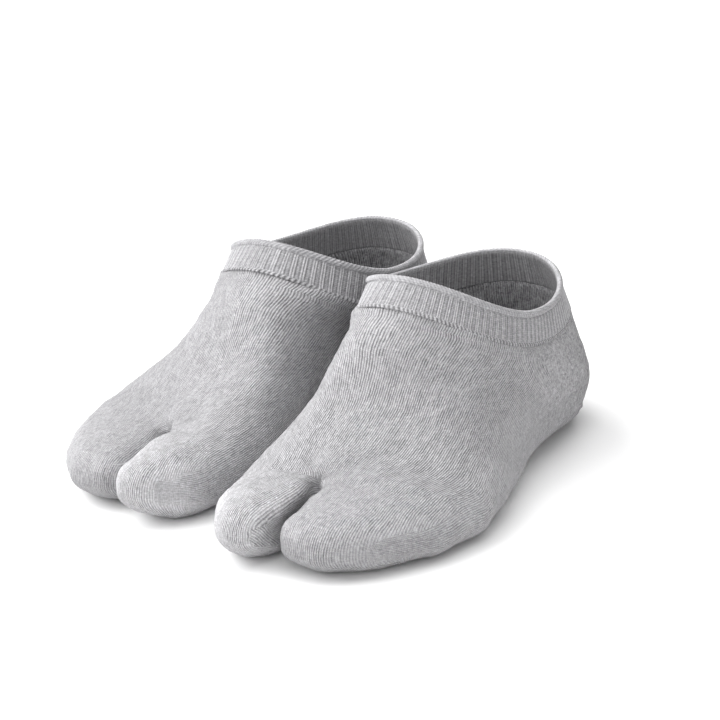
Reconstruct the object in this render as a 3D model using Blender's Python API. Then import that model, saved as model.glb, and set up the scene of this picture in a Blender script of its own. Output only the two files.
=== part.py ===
"""A pair of low-cut tabi socks, standing side by side as they are worn.

Each sock is a knitted foot, split between the big toe and the other toes, and a ribbed cuff that is
linked to it along a seam. Both are hollow walls of cloth with the ankle open.

The shape is worked out in a sock frame, in millimetres: s runs from the back of the heel to the toes,
x from the big-toe side to the little-toe side, and z up from the floor. The left sock is modelled, and
the right one is its mirror image. Blender's own units are metres, with the toes towards -Y.
"""
from collections import namedtuple
import math

import bmesh
import bpy
import numpy as np

MM = 0.001

# ---------------------------------------------------------------- driving sizes, millimetres
FOOT_WALL = 1.4            # plain knit, two yarns deep
CUFF_WALL = 1.8            # rib is thicker than plain knit
SHARPEST = 1.3             # how far the wall may thicken to keep its depth at a sharp turn
SEAM_GAP = 0.3             # cuff to foot, where the linking seam holds them

SPLIT_S = 192.5            # how far from the heel the toes divide
SPLIT_X = -4.2             # the line that the split, the wales and the sole follow
SPLIT_SLANT = -0.40        # the toe line falls back towards the little toe
WEB_RADIUS = 0.8           # the cloth turns this tightly where the pockets part
SETTLE = 1.2               # how softly the sole's edge turns up from the floor

FOOT_CENTRE = 120.0        # half a foot's length: the left heel stands this far behind the origin
HEEL_SPACING = 88.1        # between the middles of the two heels
RIGHT_SET_BACK = 10.5      # the right sock stands this much further back
LEFT_TURN = 1.1            # degrees that the left toes turn outwards
RIGHT_TURN = -0.8          # and the right ones, which turn in a little

KNIT_GREY = (0.60, 0.60, 0.62, 1.0)
RIB_GREY = (0.56, 0.56, 0.58, 1.0)
CLOTH_ROUGHNESS = 0.92

# ---------------------------------------------------------------- sections of the foot and cuff
# A section is a closed outline in a plane that holds the x direction. It hangs from a top point on
# the instep and ends at a low point on the heel or the sole, so the planes fan round the heel.
# inner and outer are its widest reach to each side, ridge the x of its top, and widest the share of
# its depth where it is widest. top_in, top_out and low are the powers of its superellipse quarters:
# 2 is an ellipse, less is leaner, more is squarer. dip_in and dip_out let its sides sag below the
# plane, and slant turns the plane towards the toe line.
Section = namedtuple(
    "Section",
    "name top_s top_z low_s low_z inner outer ridge widest top_in top_out low dip_in dip_out slant")
CUFF_SECTIONS = [
    Section("rim", 117.5, 88.0, 16.0, 73.0, -42.5, 31.0, -7.5, 0.41, 1.90, 2.05, 2.15, 10.5, 12.5, 0),
    Section("cuff seam", 128.5, 77.5, 8.0, 56.0, -43.0, 33.5, -7.5, 0.42, 2.15, 2.00, 2.40, 13.0, 13.5, 0),
]
FOOT_SECTIONS = [
    CUFF_SECTIONS[-1],
    Section("upper heel", 130.0, 75.0, 3.5, 39.0, -43.2, 36.0, -8.5, 0.47, 2.40, 2.00, 2.40, 9.0, 8.5, 0),
    Section("heel", 132.3, 73.2, 0.5, 19.0, -42.0, 38.5, -9.5, 0.52, 2.45, 1.97, 2.50, 4.0, 3.5, 0),
    Section("heel turn", 137.5, 70.7, 11.8, 0.3, -39.8, 40.0, -11.5, 0.55, 2.30, 1.95, 2.50, 0, 0, 0),
    Section("arch", 143.7, 66.3, 44.0, -2.4, -38.5, 40.2, -14.0, 0.57, 2.18, 1.87, 2.50, 0, 0, 0),
    Section("waist", 148.6, 57.2, 94.5, -2.4, -38.7, 43.4, -16.6, 0.62, 2.10, 1.76, 2.50, 0, 0, 0),
    Section("instep", 155.0, 46.4, 150.0, -2.4, -40.2, 51.2, -17.1, 0.66, 2.08, 1.70, 2.50, 0, 0, -0.10),
    Section("ball", 172.0, 36.7, 170.0, -2.4, -41.2, 53.6, -17.1, 0.63, 2.12, 1.77, 2.50, 0, 0, -0.24),
]

# ---------------------------------------------------------------- sections of the two toe pockets
# facing is the side towards the other pocket, and away the outer side. The facing side is upright
# between facing_low and facing_top, and the rest is four quarters round the peak. A pocket is widest
# on its outer side a little below half its height.
WIDEST_BELOW_MIDDLE = 1.0
Pocket = namedtuple("Pocket", "s slant facing away low_z top_z peak facing_low facing_top power")
BIG_TOE = [
    Pocket(SPLIT_S, SPLIT_SLANT, SPLIT_X, -38.6, -2.2, 28.9, -19.0, 3.0, 23.7, 2.15),
    Pocket(SPLIT_S + WEB_RADIUS, -0.38, SPLIT_X - WEB_RADIUS, -38.4, -2.2, 28.8, -19.5, 3.6, 23.7, 2.15),
    Pocket(204.8, -0.30, -5.6, -36.7, -1.6, 29.0, -19.9, 7.0, 22.6, 2.15),
    Pocket(216.1, -0.19, -6.3, -33.7, 0.2, 29.1, -19.0, 10.0, 20.7, 2.15),
    Pocket(225.4, -0.12, -7.5, -29.4, 3.7, 27.8, -17.8, 12.0, 19.3, 2.15),
    Pocket(232.9, -0.06, -9.5, -24.7, 8.2, 25.9, -16.7, 14.0, 18.8, 2.10),
    Pocket(237.2, 0.00, -12.0, -20.4, 12.2, 23.0, -16.1, 16.0, 18.3, 2.00),
]
BIG_TOE_TIP = (240.0, -16.1, 17.6)
FOUR_TOES = [
    Pocket(SPLIT_S, SPLIT_SLANT, SPLIT_X, 51.5, -2.2, 28.0, 8.3, 3.0, 23.7, 2.15),
    Pocket(SPLIT_S + WEB_RADIUS, -0.38, SPLIT_X + WEB_RADIUS, 51.2, -2.2, 27.8, 8.3, 3.6, 23.6, 2.15),
    Pocket(203.0, -0.31, -3.5, 47.3, -2.6, 26.1, 10.2, 6.0, 20.4, 2.15),
    Pocket(211.7, -0.20, -3.8, 39.8, -1.4, 25.0, 11.6, 8.0, 17.9, 2.20),
    Pocket(219.4, -0.11, -3.7, 32.4, 1.4, 23.7, 11.8, 9.5, 16.2, 2.20),
    Pocket(224.9, -0.05, -2.4, 25.1, 4.5, 21.6, 11.0, 10.8, 15.0, 2.15),
    Pocket(228.4, 0.00, 1.0, 18.5, 8.0, 18.4, 10.0, 12.0, 14.1, 2.00),
]
FOUR_TOES_TIP = (230.0, 9.6, 13.1)

# ---------------------------------------------------------------- the cuff's cut edge, bottom to top
# share is how far up the cuff, up adds millimetres to that, and out is from the foot's surface.
Edge = namedtuple("Edge", "share up out")
CUFF_PROFILE = [
    Edge(0.0, SEAM_GAP, 0.5),          # outside, above the seam
    Edge(0.5, 0.0, 0.4),
    Edge(1.0, -3.6, 0.4),
    Edge(1.0, -3.0, 0.1),              # groove under the rolled welt
    Edge(1.0, -2.4, 1.0),
    Edge(1.0, -1.2, 1.3),
    Edge(1.0, -0.1, 0.8),              # top of the welt
    Edge(1.0, 0.0, -0.6),
    Edge(1.0, -0.8, -1.5),             # inside
    Edge(0.5, 0.0, 0.4 - CUFF_WALL),
    Edge(0.0, SEAM_GAP, 0.5 - CUFF_WALL),
]

# ---------------------------------------------------------------- how finely the cloth is faceted
OUTER_STEPS = 18           # facets from the split line round the little-toe side to the sole
INNER_STEPS = 14           # and back along the big-toe side
WEB_STEPS = 4              # up the cloth between the two pockets
FINE = 400                 # points along half an outline before it is shared out evenly
BETWEEN_SECTIONS = [2, 2, 2, 2, 2, 2, 2, 2]   # rings made from each foot section to the next


def settled(z):
    """The height after the cloth has settled on the floor: flat at 0 below, softly turned up above."""
    blend = (z + SETTLE) ** 2 / (4 * SETTLE)
    return np.where(z < -SETTLE, 0.0, np.where(z > SETTLE, z, blend))


def shared_out(points, steps):
    """The same line with steps + 1 points an equal distance apart."""
    lengths = np.linalg.norm(np.diff(points, axis=0), axis=1)
    along = np.concatenate([[0.0], np.cumsum(lengths)])
    wanted = np.linspace(0.0, along[-1], steps + 1)
    return np.stack([np.interp(wanted, along, points[:, axis]) for axis in range(3)], axis=1)


def section_outline(section):
    """A fine closed outline of one section, as s, x, z, from its ridge round the little-toe side."""
    turn = np.linspace(0.0, 2 * math.pi, 2 * FINE, endpoint=False)
    across, upward = np.sin(turn), np.cos(turn)
    run = np.array([section.low_s - section.top_s, section.low_z - section.top_z])
    depth = np.hypot(*run)
    run = run / depth
    sag = np.array([-run[1], run[0]])
    on_top = upward >= 0
    to_outer = across >= 0
    power = np.where(on_top, np.where(to_outer, section.top_out, section.top_in), section.low)
    middle = np.where(on_top, section.ridge, (section.inner + section.outer) / 2)
    reach = np.where(to_outer, section.outer, section.inner)
    x = middle + (reach - middle) * np.abs(across) ** (2 / power)
    rise = np.abs(upward) ** (2 / power)
    down = np.where(on_top, section.widest * (1 - rise), section.widest + (1 - section.widest) * rise) * depth
    drop = np.where(to_outer, section.dip_out, section.dip_in) * across ** 2
    s = section.top_s + run[0] * down + sag[0] * drop
    z = section.top_z + run[1] * down + sag[1] * drop
    s = s + section.slant * (x - SPLIT_X)
    return np.stack([s, x, settled(z)], axis=1), on_top


def section_halves(section):
    """The outline cut where it crosses the split line, top and sole: its outer and its inner half."""
    outline, on_top = section_outline(section)
    count = len(outline)
    past = outline[:, 1] > SPLIT_X
    crossing = np.nonzero(past != np.roll(past, -1))[0]
    top = next(i for i in crossing if on_top[i] and on_top[(i + 1) % count])
    sole = next(i for i in crossing if not on_top[i])

    def on_split_line(i):
        here, there = outline[i], outline[(i + 1) % count]
        return here + (there - here) * (SPLIT_X - here[1]) / (there[1] - here[1])

    first, last = on_split_line(top), on_split_line(sole)
    outer_points = outline[(np.arange(top + 1, top + 1 + (sole - top) % count)) % count]
    inner_points = outline[(np.arange(sole + 1, sole + 1 + (top - sole) % count)) % count][::-1]
    outer = np.vstack([first, outer_points, last])
    inner = np.vstack([first, inner_points, last])
    return outer, inner


def pocket_halves(pocket):
    """One section of a toe pocket: its outer line and its facing line, each from top to sole."""
    quarter = np.linspace(0.0, math.pi / 2, FINE // 4)
    flat = 2 / pocket.power

    def corner(reach_x, from_z, to_z):
        """A quarter turn from the upright side at reach_x to the peak at to_z."""
        x = pocket.peak + (reach_x - pocket.peak) * np.cos(quarter) ** flat
        z = from_z + (to_z - from_z) * np.sin(quarter) ** flat
        return np.stack([x, z], axis=1)

    widest_z = (pocket.low_z + pocket.top_z) / 2 - WIDEST_BELOW_MIDDLE
    away_line = np.vstack([corner(pocket.facing, pocket.facing_top, pocket.top_z),
                           corner(pocket.away, widest_z, pocket.top_z)[::-1],
                           corner(pocket.away, widest_z, pocket.low_z),
                           corner(pocket.facing, pocket.facing_low, pocket.low_z)[::-1]])
    facing_line = np.array([[pocket.facing, pocket.facing_top], [pocket.facing, pocket.facing_low]])

    def in_space(line):
        x, z = line[:, 0], line[:, 1]
        return np.stack([pocket.s + pocket.slant * (x - SPLIT_X), x, settled(z)], axis=1)

    return in_space(away_line), in_space(facing_line)


def between(rows, pieces):
    """Smooth rows between the given ones: a cubic through each point's track, timed by its length."""
    rows = np.array(rows)
    steps = np.diff(rows, axis=0)
    spans = np.linalg.norm(steps, axis=2, keepdims=True)
    speeds = steps / spans
    ahead, behind = spans[:-1], spans[1:]
    middle = (speeds[:-1] * behind + speeds[1:] * ahead) / (ahead + behind)
    speeds = np.concatenate([speeds[:1], middle, speeds[-1:]])
    made = []
    for i, parts in enumerate(pieces):
        for t in np.arange(parts) / parts:
            made.append((2 * t**3 - 3 * t**2 + 1) * rows[i] + (3 * t**2 - 2 * t**3) * rows[i + 1]
                        + ((t**3 - 2 * t**2 + t) * speeds[i] + (t**3 - t**2) * speeds[i + 1]) * spans[i])
    made.append(rows[len(pieces)])
    return np.array(made)


def foot_grids():
    """The foot's outside as four grids of points that share their edges."""
    outer_rows, inner_rows = [], []
    for section in FOOT_SECTIONS:
        outer, inner = section_halves(section)
        outer_rows.append(shared_out(outer, OUTER_STEPS))
        inner_rows.append(shared_out(inner, INNER_STEPS))
    four_away, four_facing = zip(*[pocket_halves(row) for row in FOUR_TOES])
    big_away, big_facing = zip(*[pocket_halves(row) for row in BIG_TOE])
    outer_rows += [shared_out(row, OUTER_STEPS) for row in four_away]
    inner_rows += [shared_out(row, INNER_STEPS) for row in big_away]
    pieces = BETWEEN_SECTIONS + [1] * (len(FOUR_TOES) - 1)
    outer_grid = between(outer_rows, pieces)
    inner_grid = between(inner_rows, pieces)
    four_web = np.array([shared_out(row, WEB_STEPS) for row in four_facing])
    big_web = np.array([shared_out(row, WEB_STEPS) for row in big_facing])
    outer_grid[..., 2] = np.maximum(outer_grid[..., 2], 0.0)
    inner_grid[..., 2] = np.maximum(inner_grid[..., 2], 0.0)
    return outer_grid, inner_grid, four_web, big_web


class Skin:
    """Collects the points and faces of one piece, and joins points that grids share."""

    def __init__(self):
        self.points, self.faces = [], []

    def add(self, grid):
        """Adds a grid of points and returns their numbers in the same layout."""
        start = len(self.points)
        self.points.extend(grid.reshape(-1, 3))
        return start + np.arange(grid.shape[0] * grid.shape[1]).reshape(grid.shape[:2])

    def strip(self, numbers):
        """Covers a grid of point numbers with quads."""
        for row, after in zip(numbers[:-1], numbers[1:]):
            for i in range(len(row) - 1):
                self.faces.append([row[i], row[i + 1], after[i + 1], after[i]])

    def close(self, ring, tip):
        """Closes a ring of point numbers with triangles to one tip point."""
        self.points.append(np.array(tip))
        last = len(self.points) - 1
        for here, there in zip(ring, np.roll(ring, -1)):
            self.faces.append([here, there, last])


def foot_skin():
    """The foot's outside: body, web between the pockets, and the two pockets with their tips."""
    outer_grid, inner_grid, four_web, big_web = foot_grids()
    skin = Skin()
    outer = skin.add(outer_grid)
    inner = skin.add(inner_grid)
    split_row = len(outer_grid) - len(FOUR_TOES)
    inner[:split_row + 1, 0] = outer[:split_row + 1, 0]
    inner[:split_row + 1, -1] = outer[:split_row + 1, -1]
    four = skin.add(four_web)
    big = skin.add(big_web)
    big[0] = four[0]
    for web, side in ((four, outer), (big, inner)):
        web[:, 0] = side[split_row:, 0]
        web[:, -1] = side[split_row:, -1]
    skin.strip(outer[:, ::-1])
    skin.strip(inner)
    skin.strip(four)
    skin.strip(big[:, ::-1])
    skin.close(np.concatenate([four[-1], outer[-1, -2:0:-1]]), FOUR_TOES_TIP)
    skin.close(np.concatenate([inner[-1], big[-1, -2:0:-1]]), BIG_TOE_TIP)
    top_edge = np.concatenate([outer[0, :-1], inner[0, :0:-1]])
    return np.array(skin.points), skin.faces, top_edge


def thickened(points, faces, top_edge, out):
    """Gives a skin its wall: a second skin inside it, and a rim that joins the two at the top edge.

    Along the top edge the wall goes straight in from the cuff's own direction, out, so that the two
    pieces face each other all the way round.
    """
    work = bmesh.new()
    verts = [work.verts.new(point) for point in points]
    for face in faces:
        work.faces.new([verts[i] for i in face])
    work.normal_update()
    inward = []
    for vert in verts:
        reach = min(vert.calc_shell_factor(), SHARPEST) if vert.link_faces else 1.0
        inward.append(vert.co - vert.normal * FOOT_WALL * reach)
    work.free()
    inside = np.array(inward)
    inside[top_edge] = points[top_edge] - out * FOOT_WALL
    count = len(points)
    walls = list(faces) + [[i + count for i in reversed(face)] for face in faces]
    for here, there in zip(top_edge, np.roll(top_edge, -1)):
        walls.append([here, there, there + count, here + count])
    return np.vstack([points, inside]), walls


def cuff_band():
    """The seam line all round, the cuff's height there, and its directions up and out."""
    rings = []
    for section in CUFF_SECTIONS:
        outer, inner = section_halves(section)
        outer, inner = shared_out(outer, OUTER_STEPS), shared_out(inner, INNER_STEPS)
        rings.append(np.vstack([outer[:-1], inner[:0:-1]]))
    rim, seam = rings
    height = np.linalg.norm(rim - seam, axis=1)[:, None]
    up = (rim - seam) / height
    along = np.roll(seam, -1, axis=0) - np.roll(seam, 1, axis=0)
    out = np.cross(along, up)
    out /= np.linalg.norm(out, axis=1)[:, None]
    return seam, height, up, out


def cuff_skin():
    """The cuff: its cut edge carried round the seam line."""
    seam, height, up, out = cuff_band()
    lines = [seam + up * (edge.share * height + edge.up) + out * edge.out for edge in CUFF_PROFILE]
    skin = Skin()
    numbers = skin.add(np.array(lines))
    numbers = np.vstack([numbers, numbers[:1]])
    numbers = np.hstack([numbers, numbers[:, :1]])
    skin.strip(numbers)
    return np.array(skin.points), skin.faces


def stand(points, side):
    """A sock's points in the pair's frame: toes towards -Y, the left sock on the +X side."""
    mirror = 1 if side == "left" else -1
    turn = math.radians(LEFT_TURN if side == "left" else RIGHT_TURN)
    heel_y = FOOT_CENTRE if side == "left" else FOOT_CENTRE + RIGHT_SET_BACK
    s, x, z = points.T
    to_side = HEEL_SPACING / 2 + s * math.sin(turn) + x * math.cos(turn)
    to_back = heel_y - s * math.cos(turn) + x * math.sin(turn)
    return np.stack([mirror * to_side, to_back, z], axis=1)


def knit_material(name, colour):
    material = bpy.data.materials.new(name)
    material.use_nodes = True
    shader = material.node_tree.nodes["Principled BSDF"]
    shader.inputs["Base Color"].default_value = colour
    shader.inputs["Roughness"].default_value = CLOTH_ROUGHNESS
    shader.inputs["Metallic"].default_value = 0.0
    material.diffuse_color = colour
    return material


def cloth_object(name, points, faces, material):
    """One named piece of cloth."""
    mesh = bpy.data.meshes.new(name)
    mesh.from_pydata([tuple(point * MM) for point in points], [], faces)
    work = bmesh.new()
    work.from_mesh(mesh)
    loose = [vert for vert in work.verts if not vert.link_faces]
    bmesh.ops.delete(work, geom=loose, context="VERTS")
    bmesh.ops.triangulate(work, faces=work.faces, quad_method="SHORT_EDGE")
    work.to_mesh(mesh)
    work.free()
    mesh.materials.append(material)
    mesh.shade_smooth()
    piece = bpy.data.objects.new(name, mesh)
    bpy.context.collection.objects.link(piece)
    return piece


def main():
    for old in list(bpy.data.objects):
        bpy.data.objects.remove(old, do_unlink=True)
    plain_knit = knit_material("plain_knit", KNIT_GREY)
    rib_knit = knit_material("rib_knit", RIB_GREY)
    foot_points, foot_faces = thickened(*foot_skin(), cuff_band()[-1])
    cuff_points, cuff_faces = cuff_skin()

    stood = {}
    for side in ("left", "right"):
        stood[side, "foot"] = stand(foot_points, side)
        stood[side, "cuff"] = stand(cuff_points, side)
    everything = np.vstack(list(stood.values()))
    centre = (everything.min(axis=0) + everything.max(axis=0)) / 2
    centre[2] = 0.0

    for side in ("left", "right"):
        turned = slice(None) if side == "left" else slice(None, None, -1)
        for part, faces, material in (("foot", foot_faces, plain_knit), ("cuff", cuff_faces, rib_knit)):
            outward = [face[turned] for face in faces]
            cloth_object(f"{side}_{part}", stood[side, part] - centre, outward, material)


main()
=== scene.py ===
# %% [markdown]
# # A pair of tabi socks, standing as they are worn
#
# A tabi sock is knitted as one tube of plain jersey. The tube turns at the heel, splits into two toe
# pockets at the front, and ends at the top in a ribbed cuff that is linked on along a raised seam.
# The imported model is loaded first: it is the fixed frame, and its four solids give every piece here
# its place and its size. The cloth is then made again as dense, smooth meshes, because a knit shows
# soft form and fine relief, and both need many small faces.

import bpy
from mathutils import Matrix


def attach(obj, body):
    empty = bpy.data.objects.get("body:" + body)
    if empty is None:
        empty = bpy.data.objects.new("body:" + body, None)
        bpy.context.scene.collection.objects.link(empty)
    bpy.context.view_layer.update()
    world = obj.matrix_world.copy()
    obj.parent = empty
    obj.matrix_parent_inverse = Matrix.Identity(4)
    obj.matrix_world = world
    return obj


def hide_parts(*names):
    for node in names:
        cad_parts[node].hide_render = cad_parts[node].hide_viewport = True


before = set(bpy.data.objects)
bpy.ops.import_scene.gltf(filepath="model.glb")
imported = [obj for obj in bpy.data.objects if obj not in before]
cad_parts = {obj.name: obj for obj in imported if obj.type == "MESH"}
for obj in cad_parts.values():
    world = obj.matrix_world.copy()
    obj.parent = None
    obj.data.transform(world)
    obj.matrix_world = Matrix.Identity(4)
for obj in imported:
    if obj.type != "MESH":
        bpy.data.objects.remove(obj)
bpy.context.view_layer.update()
print("frame loaded with nodes", sorted(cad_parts))

# %% Blender's and Python's own modules
from collections import namedtuple
import math

import bpy
from mathutils import Matrix, Vector
import numpy as np

MM = 0.001
rng = np.random.default_rng(7)

# %% [markdown]
# ## The camera
#
# A long lens from a little under a metre away, turned about thirty degrees to the wearer's left and
# looking down twenty degrees. A long lens keeps the two socks nearly the same size. The camera is
# placed from its target backwards, so that turning it never changes what it looks at.

# %% Camera
CAMERA_TURN, CAMERA_HEIGHT, CAMERA_ROLL = 31.69, 20.26, 0.45  # degrees
CAMERA_AWAY = 933.7 * MM
CAMERA_TARGET = Vector((3 * MM, 13.7 * MM, 40 * MM))
LENS, SENSOR = 108.1, 36  # mm

turn, lift = math.radians(CAMERA_TURN), math.radians(CAMERA_HEIGHT)
camera_back = Vector((math.sin(turn) * math.cos(lift), -math.cos(turn) * math.cos(lift), math.sin(lift)))
camera_data = bpy.data.cameras.new("camera")
camera_data.lens, camera_data.sensor_width = LENS, SENSOR
camera_data.clip_start, camera_data.clip_end = 0.05, 20
camera = bpy.data.objects.new("camera", camera_data)
bpy.context.scene.collection.objects.link(camera)
level = camera_back.to_track_quat("Z", "Y").to_matrix().to_4x4()
camera.matrix_world = (Matrix.Translation(CAMERA_TARGET + camera_back * CAMERA_AWAY) @ level
                       @ Matrix.Rotation(math.radians(CAMERA_ROLL), 4, "Z"))
bpy.context.scene.camera = camera
print("camera at", [round(value, 3) for value in camera.location])

# %% [markdown]
# ## The sock's sections
#
# A sock fills out into the shape of a foot, so it is described as one: by closed sections from the
# ankle round the heel to the toes. All sizes are in millimetres in the sock's own frame, where s runs
# from the back of the heel to the toes, x from the big-toe side to the little-toe side, and z up.
# Between the sections every track of points is a smooth cubic, so a handful of rows gives the form.

# %% Sections of the foot and the cuff
SPLIT_S = 192.5  # how far from the heel the toes divide
SPLIT_X = -4.2  # the line that the split, the wales and the sole follow
SPLIT_SLANT = -0.4  # the toe line falls back towards the little toe
WEB_RADIUS = 0.8  # the cloth turns this tightly where the pockets part

Section = namedtuple(
    "Section",
    "name top_s top_z low_s low_z inner outer ridge widest top_in top_out low dip_in dip_out slant",
    defaults=(2.5, 0, 0, 0))
RIM = Section("rim", 117.5, 88, 16, 73, -42.5, 31, -7.5, 0.41, 1.9, 2.05, 2.15, 10.5, 12.5)
FOOT_SECTIONS = [
    Section("cuff seam", 128.5, 77.5, 8, 56, -43, 33.5, -7.5, 0.42, 2.15, 2, 2.4, 13, 13.5),
    Section("upper heel", 130, 75, 3.5, 39, -43.2, 36, -8.5, 0.47, 2.4, 2, 2.4, 9, 8.5),
    Section("heel", 132.3, 73.2, 0.5, 19, -42, 38.5, -9.5, 0.52, 2.45, 1.97, 2.5, 4, 3.5),
    Section("heel turn", 137.5, 70.7, 11.8, 0.3, -39.8, 40, -11.5, 0.55, 2.3, 1.95),
    Section("arch", 143.7, 66.3, 44, -2.4, -38.5, 40.2, -14, 0.57, 2.18, 1.87),
    Section("waist", 148.6, 57.2, 94.5, -2.4, -38.7, 43.4, -16.6, 0.62, 2.1, 1.76),
    Section("instep", 155, 46.4, 150, -2.4, -40.2, 51.2, -17.1, 0.66, 2.08, 1.7, slant=-0.1),
    Section("ball", 172, 36.7, 170, -2.4, -41.2, 53.6, -17.1, 0.63, 2.12, 1.77, slant=-0.24),
]
Pocket = namedtuple(
    "Pocket", "s slant facing away low_z top_z peak facing_low facing_top power", defaults=(2.15,))
BIG_TOE = [
    Pocket(SPLIT_S, SPLIT_SLANT, SPLIT_X, -38.6, -2.2, 28.9, -19, 3, 23.7),
    Pocket(SPLIT_S + WEB_RADIUS, -0.38, SPLIT_X - WEB_RADIUS, -38.4, -2.2, 28.8, -19.5, 3.6, 23.7),
    Pocket(204.8, -0.3, -5.6, -36.7, -1.6, 29, -19.9, 7, 22.6),
    Pocket(216.1, -0.19, -6.3, -33.7, 0.2, 29.1, -19, 10, 20.7),
    Pocket(225.4, -0.12, -7.5, -29.4, 3.7, 27.8, -17.8, 12, 19.3),
    Pocket(232.9, -0.06, -8, -25.5, 7.9, 25.9, -16.7, 14, 18.8),
    Pocket(237.2, 0, -9.9, -22.4, 11.3, 23.4, -16.2, 16, 18.3, 2.1),
]
BIG_TOE_TIP = (240, -16.1, 17.6)
FOUR_TOES = [
    Pocket(SPLIT_S, SPLIT_SLANT, SPLIT_X, 51.5, -2.2, 28, 8.3, 3, 23.7),
    Pocket(SPLIT_S + WEB_RADIUS, -0.38, SPLIT_X + WEB_RADIUS, 51.2, -2.2, 27.8, 8.3, 3.6, 23.6),
    Pocket(203, -0.31, -3.5, 47.3, -2.6, 26.1, 10.2, 6, 20.4),
    Pocket(211.7, -0.2, -3.8, 39.8, -1.4, 25, 11.6, 8, 17.9, 2.2),
    Pocket(219.4, -0.11, -3.7, 32.4, 1.4, 23.7, 11.8, 9.5, 16.2, 2.2),
    Pocket(224.9, -0.05, -2.4, 25.1, 4.5, 21.6, 11, 10.8, 15),
    Pocket(228.4, 0, 1, 18.5, 8, 18.4, 10, 12, 14.1, 2),
]
FOUR_TOES_TIP = (230, 9.6, 13.1)
print("foot sections:", [section.name for section in FOOT_SECTIONS])

# %% [markdown]
# ## How finely the cloth is divided
#
# One column of faces is one wale, a vertical chain of stitches, so the grid and the knit run the same
# way. Counting wales first, as a knitter does, keeps the yarn the same size on both socks.

# %% Wales, courses and mesh rows
OUTER_WALES = 126  # from the split line round the little-toe side to the sole
INNER_WALES = 98  # and back along the big-toe side
WEB_WALES = 18  # up the cloth between the two pockets
COURSE = 0.84  # height of a stitch
FINE = 400  # points along half an outline before it is shared out evenly
BODY_ROWS = [12, 14, 16, 22, 34, 38, 18, 20]  # mesh rows from each foot section to the next
POCKET_ROWS = [4, 10, 10, 9, 8, 6, 9]  # and from each pocket section to the next and the tip
HEEL_TURN_ROW = sum(BODY_ROWS[:3])
SPLIT_ROW = sum(BODY_ROWS)
print("wales round a sock:", OUTER_WALES + INNER_WALES, " rows:", SPLIT_ROW + sum(POCKET_ROWS))

# %% Small helpers
SETTLE = 1.2  # how softly the sole's edge turns up from the floor


def length(vectors):
    return np.linalg.norm(vectors, axis=-1)


def unit(vectors):
    return vectors / np.maximum(length(vectors), 1e-6)[..., None]


def bell(distance, width):
    """1 at no distance, fading smoothly over the width."""
    return np.exp(-(distance / width) ** 2)


def soft_step(low, high, value):
    """0 up to low, 1 from high on, and smooth between. It falls where low is the larger."""
    share = np.clip((value - low) / (high - low), 0, 1)
    return share * share * (3 - 2 * share)


def settled(z):
    """The height after the cloth has settled on the floor: flat at 0 below, softly turned up above."""
    blend = (z + SETTLE) ** 2 / (4 * SETTLE)
    return np.where(z < -SETTLE, 0, np.where(z > SETTLE, z, blend))


def shared_out(points, steps):
    """The same line with steps + 1 points an equal distance apart."""
    along = np.concatenate([[0], np.cumsum(length(np.diff(points, axis=0)))])
    wanted = np.linspace(0, along[-1], steps + 1)
    return np.stack([np.interp(wanted, along, points[:, axis]) for axis in range(3)], axis=1)


def span(values):
    return f"{values.min():.1f} to {values.max():.1f}"


print("the sole's edge turns up over, mm:", 2 * SETTLE)

# %% Outlines of the sections
def section_outline(section):
    """A fine closed outline of one section, as s, x, z, from its ridge round the little-toe side."""
    around = np.linspace(0, 2 * math.pi, 2 * FINE, endpoint=False)
    across, upward = np.sin(around), np.cos(around)
    run = np.array([section.low_s - section.top_s, section.low_z - section.top_z])
    depth = np.hypot(*run)
    run = run / depth
    sag = np.array([-run[1], run[0]])
    on_top = upward >= 0
    to_outer = across >= 0
    power = np.where(on_top, np.where(to_outer, section.top_out, section.top_in), section.low)
    middle = np.where(on_top, section.ridge, (section.inner + section.outer) / 2)
    reach = np.where(to_outer, section.outer, section.inner)
    x = middle + (reach - middle) * np.abs(across) ** (2 / power)
    rise = np.abs(upward) ** (2 / power)
    down = np.where(on_top, section.widest * (1 - rise), section.widest + (1 - section.widest) * rise) * depth
    drop = np.where(to_outer, section.dip_out, section.dip_in) * across ** 2
    s = section.top_s + run[0] * down + sag[0] * drop
    z = section.top_z + run[1] * down + sag[1] * drop
    s = s + section.slant * (x - SPLIT_X)
    return np.stack([s, x, settled(z)], axis=1), on_top


def section_halves(section):
    """The outline cut where it crosses the split line, top and sole: its outer and its inner half."""
    outline, on_top = section_outline(section)
    count = len(outline)
    past = outline[:, 1] > SPLIT_X
    crossing = np.nonzero(past != np.roll(past, -1))[0]
    top = next(i for i in crossing if on_top[i] and on_top[(i + 1) % count])
    sole = next(i for i in crossing if not on_top[i])

    def on_split_line(i):
        here, there = outline[i], outline[(i + 1) % count]
        return here + (there - here) * (SPLIT_X - here[1]) / (there[1] - here[1])

    first, last = on_split_line(top), on_split_line(sole)
    outer_points = outline[(np.arange(top + 1, top + 1 + (sole - top) % count)) % count]
    inner_points = outline[(np.arange(sole + 1, sole + 1 + (top - sole) % count)) % count][::-1]
    return np.vstack([first, outer_points, last]), np.vstack([first, inner_points, last])


seam_halves = section_halves(FOOT_SECTIONS[0])
print("seam length, mm:", round(sum(length(np.diff(half, axis=0)).sum() for half in seam_halves)))

# %% Outlines of the toe pockets
WIDEST_BELOW_MIDDLE = 1  # a toe pocket is widest this far below half its height


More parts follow.
